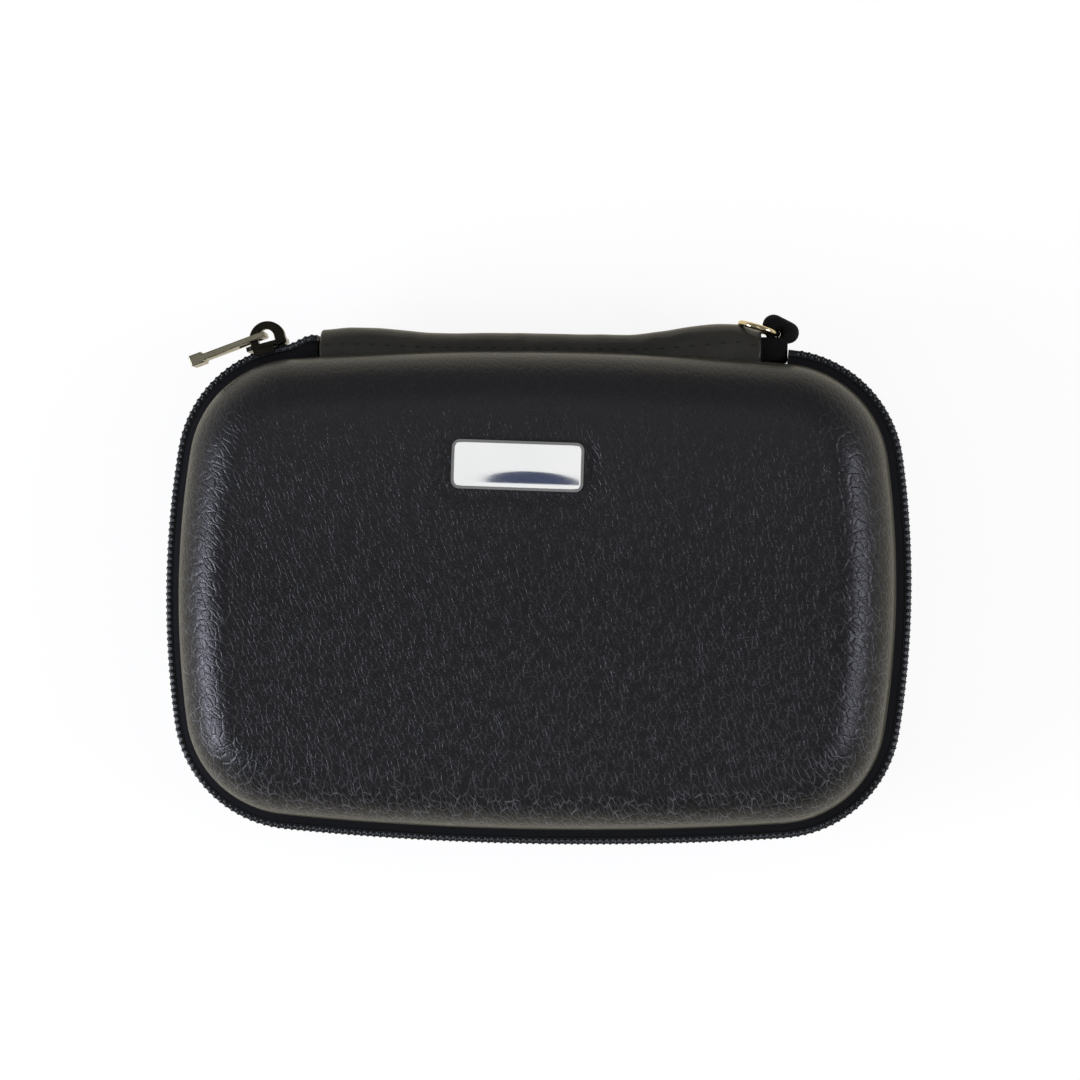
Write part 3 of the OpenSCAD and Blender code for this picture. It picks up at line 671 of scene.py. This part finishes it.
class DRIVECASE_OT_zip(bpy.types.Operator):
    """Adds both halves of the zip, with the stitches that hold the coils"""
    bl_idname = "drive_case.zip"
    bl_label = "Zip"

    def execute(self, context):
        for body, phase in (("base", 0.0), ("lid", 0.5)):
            tape, coil, thread = tape_mesh(), coil_mesh(phase), bmesh.new()
            row = []
            for k in range(int((ZIP_LEN - 2 * MM) / PITCH)):
                s = 1.1 * MM + (k + phase) * PITCH
                x, y, a = place_along(s, ZIP_OUT + 0.42 * MM + flare(s))
                row.append((x, y, ZIP_MID - CHAIN_W / 2 + 0.02 * MM, a, 0))
            stitch_row(thread, row, (0.42 * MM, 0.46 * MM, 0.24 * MM))
            for bm in (tape, coil, thread):
                if body == "lid":
                    flip_to_lid(bm)
                else:
                    bmesh.ops.recalc_face_normals(bm, faces=bm.faces)
            finish_piece(tape, body + "_tape", body, "zip_tape", ["zip_tape_" + body])
            finish_piece(coil, body + "_coil", body, "zip_coil", ["zip_coil_" + body], sharp=75)
            finish_piece(thread, body + "_coil_stitches", body, "thread_painted_glint", sharp=75)
        return {"FINISHED"}


# Slider, tab, ring and loop


class DRIVECASE_OT_slider(bpy.types.Operator):
    """Adds the slider with its bridge, and the pull tab"""
    bl_idname = "drive_case.slider"
    bl_label = "Slider and pull tab"

    def execute(self, context):
        for node, name, body, material, width in (
                ("slider_body", "slider_plates", "slider", "gunmetal", 0.2 * MM),
                ("slider_bridge", "slider_arch", "slider", "gunmetal", 0.28 * MM),
                ("pull_tab", "tab", "tab", "tab_nickel", 0.24 * MM)):
            bm = merged_copy(node)
            if node == "slider_bridge":
                self.fill_arch(bm)
            piece = finish_piece(bm, name, body, material, [node], sharp=35)
            soften(piece, width)
        return {"FINISHED"}

    def fill_arch(self, bm):
        """Draws the arch's inner side in: the cast one is heavy, with a small opening for the tab."""
        kx, ky = ZIP_ARCS[1][:2]
        up = Vector((cos(SLIDER_TURN), sin(SLIDER_TURN), 0))
        along = Vector((-up.y, up.x, 0))
        foot = CORNER_R + ZIP_OUT + COIL_T + 1.1 * MM
        for v in bm.verts:
            spot = v.co - Vector((kx, ky, 0))
            high, wide = spot.dot(up) - foot, spot.dot(along)
            if abs(wide) < 2.52 * MM and high < 3.32 * MM:
                v.co -= up * high * 0.14 + along * wide * (0.25 if wide > 0 else 0.42)


def lobe_reach(turn):
    """How far the folded webbing reaches from its eye in a direction: the hull of three round folds."""
    folds = ((-0.8, 1.7, 2.2), (2.2, 0.3, 2.1), (-0.3, -0.7, 1.6))
    reach = 1.0
    for k in range(96):
        a = 2 * pi * k / 96
        if cos(turn - a) > 0.05:
            edge = max(x * cos(a) + y * sin(a) + r for x, y, r in folds) * MM
            reach = min(reach, edge / cos(turn - a))
    return reach


def webbing_mesh():
    """Webbing folded into a puffed lobe, whose eye narrows round the ring's wire, with its sewn-in end."""
    bm = bmesh.new()
    # Rings of (part of the way from the eye's edge to the lobe's, eye's radius in mm, height in mm)
    rings = [(0, 0.62, 0), (0, 0.85, 0.8), (0, 1.45, 1.9), (0.25, 1.6, 2.15), (0.6, 1.6, 2.0),
             (0.86, 1.6, 1.5), (1, 1.6, 0.6)]
    rings += [(part, eye, -z) for part, eye, z in reversed(rings[1:])]
    loops = []
    for part, eye, z in rings:
        made = bmesh.ops.create_circle(bm, segments=40, radius=1.0)["verts"]
        for v in made:
            turn = atan2(v.co.y, v.co.x)
            far = eye * MM + (lobe_reach(turn) - eye * MM) * part
            v.co = (LOOP_X + far * cos(turn), LOOP_Y + far * sin(turn), ZIP_MID + z * MM)
        loops.append(edges_of(made))
    for first, second in zip(loops, loops[1:] + loops[:1]):
        bmesh.ops.bridge_loops(bm, edges=first + second)
    # The end reaches from inside the strip to just short of the zip
    x0, wide = SPINE_L / 2 - 0.6 * MM, TAIL_W + 1.26 * MM
    y0, y1 = back_line(SPINE_L / 2, 0), LOOP_Y - 0.7 * MM
    bar(bm, Matrix.Translation((x0 + wide / 2, (y0 + y1) / 2, ZIP_MID)), (wide, y1 - y0, LOOP_W), 0.5 * MM, 3)
    return bm


class DRIVECASE_OT_ring(bpy.types.Operator):
    """Adds the gold wire ring and the webbing loop that holds it"""
    bl_idname = "drive_case.ring"
    bl_label = "Ring and loop"

    def execute(self, context):
        bm = bmesh.new()
        upright = Matrix.Translation((RING_R, 0, 0)) @ Matrix.Rotation(pi / 2, 4, "X")
        wire = bmesh.ops.create_circle(bm, segments=20, radius=WIRE_R, matrix=upright)["verts"]
        bmesh.ops.spin(bm, geom=wire + edges_of(wire), cent=(0, 0, 0), axis=(0, 0, 1), angle=2 * pi, steps=72,
                       use_merge=True)
        lay = Matrix.Translation((LOOP_X, LOOP_Y, ZIP_MID)) @ Matrix.Rotation(RING_TURN, 4, "Z") @ upright
        bmesh.ops.transform(bm, matrix=lay, verts=bm.verts)
        finish_piece(bm, "gold_ring", "ring", "gold", ["ring"], recalc=True)
        finish_piece(webbing_mesh(), "webbing_loop", "spine", "webbing", ["ring_loop"],
                     sharp=60, recalc=True)
        return {"FINISHED"}


# Spine


def back_line(x, deep):
    """How far out the rim's long back side lies at x, less a depth."""
    return HALF_W - LONG_R + sqrt((LONG_R - deep) ** 2 - x * x)


def strip_swell(x):
    """How much further the padded strip stands out along its length: it swells towards both ends."""
    x = x / MM
    right = 2.3 * smooth((x - 17) / 20) - 1.2 * smooth((x - 39) / 5)
    left = 0.75 * smooth((-x - 22) / 11) - 0.5 * smooth((-x - 38) / 6)
    return (right + left) * MM


class DRIVECASE_OT_spine(bpy.types.Operator):
    """Adds the padded leather strip along the back, its foam, its lining and its stitches"""
    bl_idname = "drive_case.spine"
    bl_label = "Spine strip"

    def execute(self, context):
        high, back = 4.7 * MM, 0.3 * MM
        bulge = SPINE_OUT + back
        r = (high ** 2 + bulge ** 2) / (2 * bulge)
        span = asin(high / r)

        def strip_body(inset, steps, half_l, step):
            """The strip's bulging profile, swept along the back, its own back cut to the rim's bow."""
            bm = bmesh.new()
            turns = [-span + 2 * span * k / steps for k in range(steps + 1)]
            points = [(HALF_W - back + bulge - r + (r - inset) * cos(a),
                       ZIP_MID + (high - inset) * sin(a) / sin(span)) for a in turns]
            points += [(HALF_W - 2.6 * MM, ZIP_MID + high - inset),
                       (HALF_W - 2.6 * MM, ZIP_MID - high + inset)]
            verts = [bm.verts.new((-half_l, y, z)) for y, z in points]
            geom = verts + [bm.edges.new(pair) for pair in zip(verts, verts[1:] + verts[:1])]
            count = round(2 * half_l / step)
            bmesh.ops.spin(bm, geom=geom, cent=(0, 0, 0), axis=(1, 0, 0), angle=0, steps=count,
                           dvec=(2 * half_l / count, 0, 0))
            close(bm)
            for v in bm.verts:
                v.co.y = max(v.co.y, back_line(v.co.x, back - inset))
            return bm

        def free(x, y):
            """1 where the strip stands free of the rim, falling to 0 at the seam."""
            return smooth((y - back_line(x, back)) / (3.5 * MM))

        skin = strip_body(0, 24, SPINE_L / 2, 0.7 * MM)
        lay_flat(skin, lambda x, y, z: (x, HALF_W - r * asin(max(min((z - ZIP_MID) / r, 1), -1))), kept=0.65)
        for v in skin.verts:
            x, y, z = v.co
            out = free(x, y)
            puff = noise.noise(Vector((x * 60, z * 40, 1))) + 0.5 * noise.noise(Vector((x * 200, z * 80, 5)))
            # Gathers pull in towards the seams, a few millimetres apart
            seam = 7 if z > ZIP_MID else 3
            pleat = noise.noise(Vector((x * 330, 2, seam))) * smooth(abs(z - ZIP_MID) / high)
            v.co.y += out * (strip_swell(x) + 0.2 * MM * puff) + 0.5 * MM * pleat * smooth(out * 3)
        ends = [e for e in skin.edges
                if len(e.link_faces) == 2 and any(len(f.verts) > 4 for f in e.link_faces)]
        round_off(skin, ends, 0.5 * MM, 3)
        strip = finish_piece(skin, "spine_leather", "spine", "leather", ["spine_strip"], sharp=60)

        finish_piece(strip_body(1.0 * MM, 14, SPINE_L / 2 - 0.6 * MM, 2 * MM), "spine_foam", "spine",
                     "foam", ["spine_core"])
        half_a = asin(SPINE_L / 2 / LONG_R)
        arc = [(0, HALF_W - LONG_R, LONG_R, pi / 2 - half_a, 2 * half_a)]
        cloth = bmesh.new()
        carry(cloth, [(0.3 * MM, ZIP_MID - high), (0.3 * MM, ZIP_MID + high), (0.9 * MM, ZIP_MID + high),
                      (0.9 * MM, ZIP_MID - high)], arc, 2 * MM, closed=True)
        close(cloth)
        finish_piece(cloth, "spine_inner_cloth", "spine", "lining", ["spine_lining"])

        # Cloth hinges: a thin band runs from under each shell's cover up behind the spine
        heights = [(12.6 + 0.3 * k) * MM for k in range(15)]
        for body in ("base", "lid"):
            band = bmesh.new()
            carry(band, [(1.05 * MM, z) for z in heights] + [(1.5 * MM, z) for z in reversed(heights)], arc,
                  2 * MM, closed=True)
            close(band)
            if body == "lid":
                flip_to_lid(band)
            hinge = finish_piece(band, body + "_fold_cloth", None, "lining")
            low, top = Vector((0, HALF_W, 14.0 * MM)), Vector((0, HALF_W, 15.6 * MM))
            if body == "base":
                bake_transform(hinge)
            else:
                low.z, top.z = CASE_H - low.z, CASE_H - top.z
                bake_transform(hinge)

        # Stitches near both long edges, sunk half into the leather
        rows = []
        for side in (-1, 1):
            tilt = side * span * 0.86
            count = int(SPINE_L / (3.0 * MM))
            for k in range(count):
                x = -SPINE_L / 2 + (k + 0.5) * SPINE_L / count
                y = HALF_W - back + bulge - r + (r + 0.02 * MM) * cos(tilt)
                y += free(x, y) * strip_swell(x)
                rows.append((x, y, ZIP_MID + (r + 0.02 * MM) * sin(tilt), 0, -tilt))
        thread = bmesh.new()
        stitch_row(thread, rows, (0.9 * MM, 0.28 * MM, 0.28 * MM))
        finish_piece(thread, "spine_stitches", "spine", "thread", recalc=True)
        return {"FINISHED"}


# Name plate


class DRIVECASE_OT_plate(bpy.types.Operator):
    """Adds the bare crowned plate on the lid and dresses its adhesive pad"""
    bl_idname = "drive_case.plate"
    bl_label = "Name plate"

    def execute(self, context):
        seat = CASE_H - RECESS_D + PAD_T
        bm = bmesh.new()
        bmesh.ops.create_grid(bm, x_segments=1, y_segments=1, size=0.5,
                              matrix=Matrix.Translation((PLATE_X, PLATE_Y, seat))
                              @ Matrix.Diagonal((PLATE_L, PLATE_W, 1, 1)))
        round_off(bm, list(bm.verts), PLATE_R, 8, "VERTICES")
        raised = bmesh.ops.extrude_face_region(bm, geom=list(bm.faces))
        tops = [v for v in raised["geom"] if isinstance(v, bmesh.types.BMVert)]
        bmesh.ops.translate(bm, verts=tops, vec=(0, 0, PLATE_H))
        # Cuts for the crown and for the turned-down border
        lines = [(PLATE_X + k * 0.7 * MM, 0) for k in range(-18, 19)]
        lines += [(PLATE_Y + k * 0.25 * MM, 1) for k in range(-19, 20)]
        lines += [(PLATE_X + s * (PLATE_L / 2 - k * 0.2 * MM), 0) for s in (-1, 1) for k in range(1, 6)]
        face_z = seat + PLATE_H - 1e-6
        for at, way in lines:
            cut(bm, [f for f in bm.faces if all(v.co.z > face_z for v in f.verts)], at, way)
        for v in bm.verts:
            if v.co.z > face_z:
                x, y = v.co.x - PLATE_X, v.co.y - PLATE_Y
                d = -edge_distance(v.co.x, v.co.y)
                fall = PLATE_CROWN - sqrt(PLATE_CROWN ** 2 - y * y)
                v.co.z -= fall + 0.05 * MM * (1 - smooth(d / (0.5 * MM))) + 1.0 * x * x
        # It was glued on slightly askew
        bmesh.ops.rotate(bm, verts=bm.verts, cent=(PLATE_X, PLATE_Y, 0),
                         matrix=Matrix.Rotation(radians(-1.2), 3, "Z"))
        finish_piece(bm, "chrome_plate", "lid", "chrome", ["name_plate"], sharp=50, recalc=True)
        dress_node("plate_adhesive", finish("adhesive"))
        return {"FINISHED"}


# Inside


class DRIVECASE_OT_inside(bpy.types.Operator):
    """Adds the lid's net pocket with its hem, and the base's two elastic straps"""
    bl_idname = "drive_case.inside"
    bl_label = "Net pocket and straps"

    def execute(self, context):
        # Net: the cavity's outline cut into a grid, then turned into cords
        net = bmesh.new()
        z, inset, hem_y, pitch = CASE_H - SHELL_H + 1.5 * MM, 4.85 * MM, 20.4 * MM, 3.3 * MM
        edge = inset + 0.9 * MM
        carry(net, [(inset, z), (edge, z)], RING_ARCS, 2 * MM)
        inner = [e for e in net.edges if e.is_boundary and all(
            min(abs(hypot(v.co.x - a[0], v.co.y - a[1]) - a[2] + edge) for a in RING_ARCS) < 2e-5
            for v in e.verts)]
        bmesh.ops.holes_fill(net, edges=inner, sides=0)
        bmesh.ops.bisect_plane(net, geom=list(net.verts) + list(net.edges) + list(net.faces), dist=1e-6,
                               plane_co=(0, hem_y, 0), plane_no=(0, 1, 0), clear_outer=True)
        for k in range(-21, 22):
            for way in (0, 1):
                cut(net, [f for f in net.faces if f.calc_area() > 2e-6], k * pitch, way)
        bmesh.ops.wireframe(net, faces=net.faces, thickness=0.26 * MM, offset=0, use_replace=True,
                            use_boundary=True, use_even_offset=True)
        finish_piece(net, "pocket_mesh", "lid", "net", ["pocket_net"], recalc=True)

        for node, name, body, width in (("pocket_hem", "pocket_elastic", "lid", 0.45 * MM),
                                        ("strap_left", "elastic_left", "base", 0.4 * MM),
                                        ("strap_right", "elastic_right", "base", 0.4 * MM)):
            bm = merged_copy(node)
            piece = finish_piece(bm, name, body, "elastic", [node], sharp=45)
            soften(piece, width)
        return {"FINISHED"}


# Stage


class DRIVECASE_OT_stage(bpy.types.Operator):
    """Adds the white floor, the lamps and the camera"""
    bl_idname = "drive_case.stage"
    bl_label = "Floor, lamps and camera"

    def execute(self, context):
        scene = context.scene
        scene.view_settings.view_transform = "Standard"
        size = scene.drive_case
        self.floor()
        self.cards()
        self.world(scene)
        for name, place, wide, power, colour in (
                ("left lamp", (-0.66, -0.16, 0.34), (0.36, 0.2), size.left_power, "#e8ebff"),
                ("right lamp", (0.60, -0.04, 0.50), (0.40, 0.24), size.right_power, "#ebecff"),
                ("front lamp", (0.05, -0.62, 0.80), (0.5, 0.3), size.front_power, "#ffffff")):
            self.lamp(name, place, wide, power, colour)
        camera = bpy.data.cameras.new("camera")
        camera.lens, camera.sensor_width = size.lens, 36
        view = bpy.data.objects.new("camera", camera)
        scene.collection.objects.link(view)
        aim, distance = Vector((0.0004, 0.0100, ZIP_MID)), 0.7
        tilt_x, tilt_y, roll = radians(3.4), radians(0.3), radians(0.8)
        back = Vector((sin(tilt_x), -sin(tilt_y), sqrt(1 - sin(tilt_x) ** 2 - sin(tilt_y) ** 2)))
        up = Vector((-sin(roll), cos(roll), 0))
        right = up.cross(back).normalized()
        up = back.cross(right)
        turned = Matrix((right, up, back)).transposed().to_4x4()
        view.matrix_world = Matrix.Translation(aim + back * distance) @ turned
        camera.clip_start, camera.clip_end = 0.01, 20
        scene.camera = view
        return {"FINISHED"}

    def sheet(self, name, corners, place):
        """A flat stage piece with its outline given as (x, y), and an empty material for it."""
        bm = bmesh.new()
        verts = [bm.verts.new((x, y, 0)) for x, y in corners]
        geom = [bm.edges.new(pair) for pair in zip(verts, verts[1:] + verts[:1])]
        bmesh.ops.contextual_create(bm, geom=geom)
        bmesh.ops.translate(bm, verts=bm.verts, vec=place)
        mesh = bpy.data.meshes.new(name)
        bm.to_mesh(mesh)
        bm.free()
        piece = bpy.data.objects.new(name, mesh)
        bpy.context.scene.collection.objects.link(piece)
        mat = bpy.data.materials.new(name)
        mat.use_nodes = True
        mat.node_tree.nodes.clear()
        mesh.materials.append(mat)
        return piece, mat.node_tree

    def floor(self):
        """A white floor that keeps the case's shadow."""
        floor, tree = self.sheet("white_floor", [(-4, -4), (4, -4), (4, 4), (-4, 4)], (0, 0, -0.0002))
        path = add_node(tree, "ShaderNodeLightPath")
        glossy = path.outputs["Is Glossy Ray"]
        seen = combine(tree, "MAXIMUM", path.outputs["Is Camera Ray"],
                       combine(tree, "MAXIMUM", glossy, path.outputs["Is Transmission Ray"]))
        white = add_node(tree, "ShaderNodeBsdfDiffuse", {"Color": linear("#f4f4f4")})
        tint = add_node(tree, "ShaderNodeMix", {0: glossy, 6: (1, 1, 1, 1), 7: linear("#fbf3dc")},
                        data_type="RGBA")
        glow = add_node(tree, "ShaderNodeEmission", {"Color": tint.outputs[2], "Strength": 1.0})
        part = times(tree, seen, 0.88)
        both = add_node(tree, "ShaderNodeMixShader", {0: part, 1: white.outputs[0], 2: glow.outputs[0]})
        add_node(tree, "ShaderNodeOutputMaterial", {"Surface": both.outputs[0]})

    def cards(self):
        """A white card over the plate, and a dark one before it, seen only in polished surfaces."""
        ring = [pi * k / 24 for k in range(25)]
        arch = [(-0.048 + 0.055 * cos(a), -0.215 + 0.185 * sin(a)) for a in ring]
        for name, corners, z, colour in (
                ("white_card", [(-0.18, -0.36), (0.06, -0.36), (0.06, 0.46), (-0.18, 0.46)], 0.93, "#ffffff"),
                ("dark_card", arch, 0.9, "#454c66")):
            card, tree = self.sheet(name, corners, (0, 0, z))
            glow = add_node(tree, "ShaderNodeEmission", {"Color": linear(colour), "Strength": 1.0})
            add_node(tree, "ShaderNodeOutputMaterial", {"Surface": glow.outputs[0]})
            card.visible_camera = card.visible_diffuse = card.visible_shadow = False
            card.visible_transmission = False

    def world(self, scene):
        """An even pale room. Polished surfaces see it white low on both sides and dim elsewhere."""
        world = bpy.data.worlds.new("studio")
        scene.world = world
        world.use_nodes = True
        tree = world.node_tree
        tree.nodes.clear()
        path = add_node(tree, "ShaderNodeLightPath")
        toward = add_node(tree, "ShaderNodeTexCoord").outputs["Generated"]
        part = add_node(tree, "ShaderNodeSeparateXYZ", {0: toward})
        side = steer(tree, combine(tree, "ABSOLUTE", part.outputs[0]), 0.35, 0.9, 0.1, 1.0)
        low = steer(tree, part.outputs[2], 0.05, 0.45, 1.0, 0.0)
        sky = steer(tree, times(tree, side, low), 0.0, 1.0, scene.drive_case.ceiling, 1.0)
        room = steer(tree, path.outputs["Is Glossy Ray"], 0.0, 1.0, scene.drive_case.room_light, sky)
        clear = combine(tree, "MAXIMUM", path.outputs["Is Camera Ray"], path.outputs["Is Transmission Ray"])
        strength = steer(tree, clear, 0.0, 1.0, room, 1.0)
        back = add_node(tree, "ShaderNodeBackground", {"Color": (1, 1, 1, 1), "Strength": strength})
        add_node(tree, "ShaderNodeOutputWorld", {"Surface": back.outputs[0]})

    def lamp(self, name, place, wide, power, colour):
        """An area lamp that faces the case."""
        data = bpy.data.lights.new(name, "AREA")
        data.shape, data.size, data.size_y, data.energy = "RECTANGLE", wide[0], wide[1], power
        data.color = linear(colour)[:3]
        lamp = bpy.data.objects.new(name, data)
        lamp.location = place
        lamp.rotation_euler = (Vector(place) - Vector((0, 0, 0.03))).to_track_quat("Z", "Y").to_euler()
        bpy.context.scene.collection.objects.link(lamp)


class DriveCaseSettings(bpy.types.PropertyGroup):
    """What a user would change about the scene"""
    left_power: bpy.props.FloatProperty(name="Left lamp", description="Power of the low lamp on the left",
                                        default=6.0, min=0, unit="POWER")
    right_power: bpy.props.FloatProperty(name="Right lamp", description="Power of the high lamp on the right",
                                         default=3.2, min=0, unit="POWER")
    front_power: bpy.props.FloatProperty(name="Front lamp", description="Power of the lamp above the front",
                                         default=0.3, min=0, unit="POWER")
    room_light: bpy.props.FloatProperty(name="Room light", description="Strength of the room's even light",
                                        default=0.55, min=0, max=1)
    ceiling: bpy.props.FloatProperty(name="Ceiling", description="How bright polished surfaces see it",
                                     default=0.2, min=0, max=1)
    lens: bpy.props.FloatProperty(name="Lens", description="Focal length of the camera", default=116.7,
                                  unit="CAMERA")


class DRIVECASE_PT_pieces(bpy.types.Panel):
    """Lists the pieces of the case"""
    bl_idname = "DRIVECASE_PT_pieces"
    bl_label = "Drive case"
    bl_space_type = "VIEW_3D"
    bl_region_type = "UI"
    bl_category = "Drive case"

    def draw(self, context):
        for operator in OPERATORS:
            self.layout.operator(operator.bl_idname)
        for key in ("left_power", "right_power", "front_power", "room_light", "ceiling", "lens"):
            self.layout.prop(context.scene.drive_case, key)


OPERATORS = (DRIVECASE_OT_covers, DRIVECASE_OT_shells, DRIVECASE_OT_zip, DRIVECASE_OT_slider,
             DRIVECASE_OT_ring, DRIVECASE_OT_spine, DRIVECASE_OT_plate, DRIVECASE_OT_inside,
             DRIVECASE_OT_stage)
CLASSES = (DriveCaseSettings, *OPERATORS, DRIVECASE_PT_pieces)


def register():
    for cls in CLASSES:
        bpy.utils.register_class(cls)
    bpy.types.Scene.drive_case = bpy.props.PointerProperty(type=DriveCaseSettings)


def unregister():
    del bpy.types.Scene.drive_case
    for cls in reversed(CLASSES):
        bpy.utils.unregister_class(cls)


def main():
    register()
    for operator in OPERATORS:
        group, name = operator.bl_idname.split(".")
        getattr(getattr(bpy.ops, group), name)()
    bpy.context.view_layer.update()


if __name__ == "__main__":
    main()
